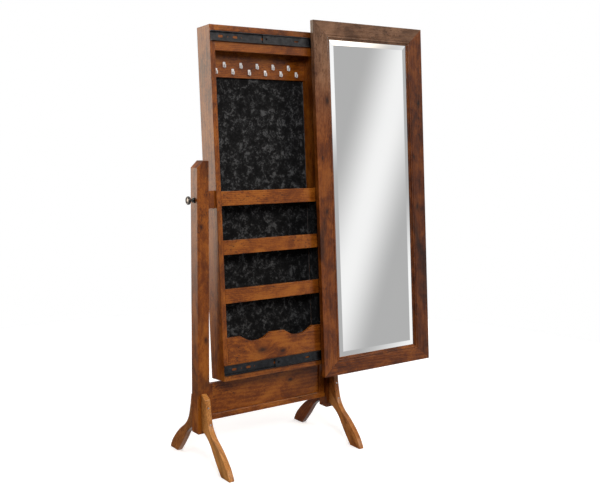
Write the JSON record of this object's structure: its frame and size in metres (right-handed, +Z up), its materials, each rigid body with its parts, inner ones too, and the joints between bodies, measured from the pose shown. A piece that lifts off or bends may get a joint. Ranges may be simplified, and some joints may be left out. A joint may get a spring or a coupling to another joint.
{
  "type": "cheval floor mirror",
  "caption": "Cheval floor mirror: a jewellery cabinet tilts between two footed posts, and its framed, bevelled mirror door slides sideways to uncover hooks, trays and a pocket.",
  "frame": {"origin": "on the floor, midway between the two posts and directly under the pivot axis", "axes": "+X to the right as seen from the front, +Y to the back, +Z up; the mirror faces -Y"},
  "size_m": [1.1079, 0.45, 1.6654],
  "materials": {
    "stand_wood": "red-brown stained cherry, satin lacquer",
    "cabinet_wood": "red-brown stained cherry, satin lacquer",
    "door_wood": "red-brown stained cherry, semi-gloss lacquer",
    "back_wood": "stained plywood, satin",
    "backing_board": "plain hardboard, matt",
    "mirror": "silvered glass with a ground and polished bevel",
    "velvet": "black crushed velvet",
    "nickel": "bright nickel",
    "slide_steel": "black zinc, satin",
    "dark_bronze": "oil-rubbed bronze, glossy",
    "zinc_steel": "bright zinc",
    "brass_insert": "turned",
    "friction_pad": "black rubber, matt"
  },
  "bodies": {
    "stand": {"post_left": "stand_wood", "post_right": "stand_wood", "foot_left_front": "stand_wood", "foot_left_rear": "stand_wood", "foot_right_front": "stand_wood", "foot_right_rear": "stand_wood", "foot_screws": "zinc_steel", "apron_panel": "stand_wood", "apron_end_left": "stand_wood", "apron_end_right": "stand_wood", "apron_rail": "stand_wood", "rosette_left": "dark_bronze", "rosette_right": "dark_bronze"},
    "cabinet": {"side_left": "cabinet_wood", "side_right": "cabinet_wood", "top_board": "cabinet_wood", "bottom_board": "cabinet_wood", "back_panel": "back_wood", "header_rail": "cabinet_wood", "lip_rail_1": "cabinet_wood", "lip_rail_2": "cabinet_wood", "lip_rail_3": "cabinet_wood", "shelf_1": "cabinet_wood", "shelf_2": "cabinet_wood", "shelf_3": "cabinet_wood", "pocket_front": "cabinet_wood", "hook_board": "cabinet_wood", "hooks": "nickel", "back_lining_1": "velvet", "back_lining_2": "velvet", "back_lining_3": "velvet", "back_lining_4": "velvet", "tray_pads": "velvet", "pocket_pad": "velvet", "side_linings": "velvet", "slide_outer_top": "slide_steel", "slide_outer_bottom": "slide_steel", "slide_screws": "slide_steel", "pivot_block_left": "cabinet_wood", "pivot_block_right": "cabinet_wood", "pivot_pad_left": "friction_pad", "pivot_pad_right": "friction_pad", "pivot_insert_left": "brass_insert", "pivot_insert_right": "brass_insert"},
    "door": {"door_stile_left": "door_wood", "door_stile_right": "door_wood", "door_rail_top": "door_wood", "door_rail_bottom": "door_wood", "mirror_glass": "mirror", "mirror_backing": "backing_board", "mirror_stops": "door_wood", "slide_inner_top": "slide_steel", "slide_inner_bottom": "slide_steel", "door_slide_screws": "slide_steel"},
    "slide_middles": {"slide_middle_top": "slide_steel", "slide_middle_bottom": "slide_steel"},
    "knob_left": {"knob_left": "dark_bronze", "stud_left": "zinc_steel"},
    "knob_right": {"knob_right": "dark_bronze", "stud_right": "zinc_steel"}
  },
  "joints": [
    {"name": "cabinet_tilt", "type": "hinge", "parent": "stand", "child": "cabinet", "pos_m": [0, 0, 0.992], "axis": [-1, 0, 0], "range_deg": [-4.8, 0.8]},
    {"name": "door_slide", "type": "slide", "parent": "cabinet", "child": "door", "axis": [1, 0, 0], "range_m": [-0.477, 0]},
    {"name": "slide_middle_slide", "type": "slide", "parent": "cabinet", "child": "slide_middles", "axis": [1, 0, 0], "range_m": [-0.2241, 0]},
    {"name": "left_knob_turn", "type": "hinge", "parent": "cabinet", "child": "knob_left", "pos_m": [0, 0, 0.992], "axis": [-1, 0, 0], "range_deg": [0, 360]},
    {"name": "right_knob_turn", "type": "hinge", "parent": "cabinet", "child": "knob_right", "pos_m": [0, 0, 0.992], "axis": [1, 0, 0], "range_deg": [0, 360]}
  ],
  "couplings": [
    {"joint": "slide_middle_slide", "follows": "door_slide", "ratio": 0.4696}
  ]
}
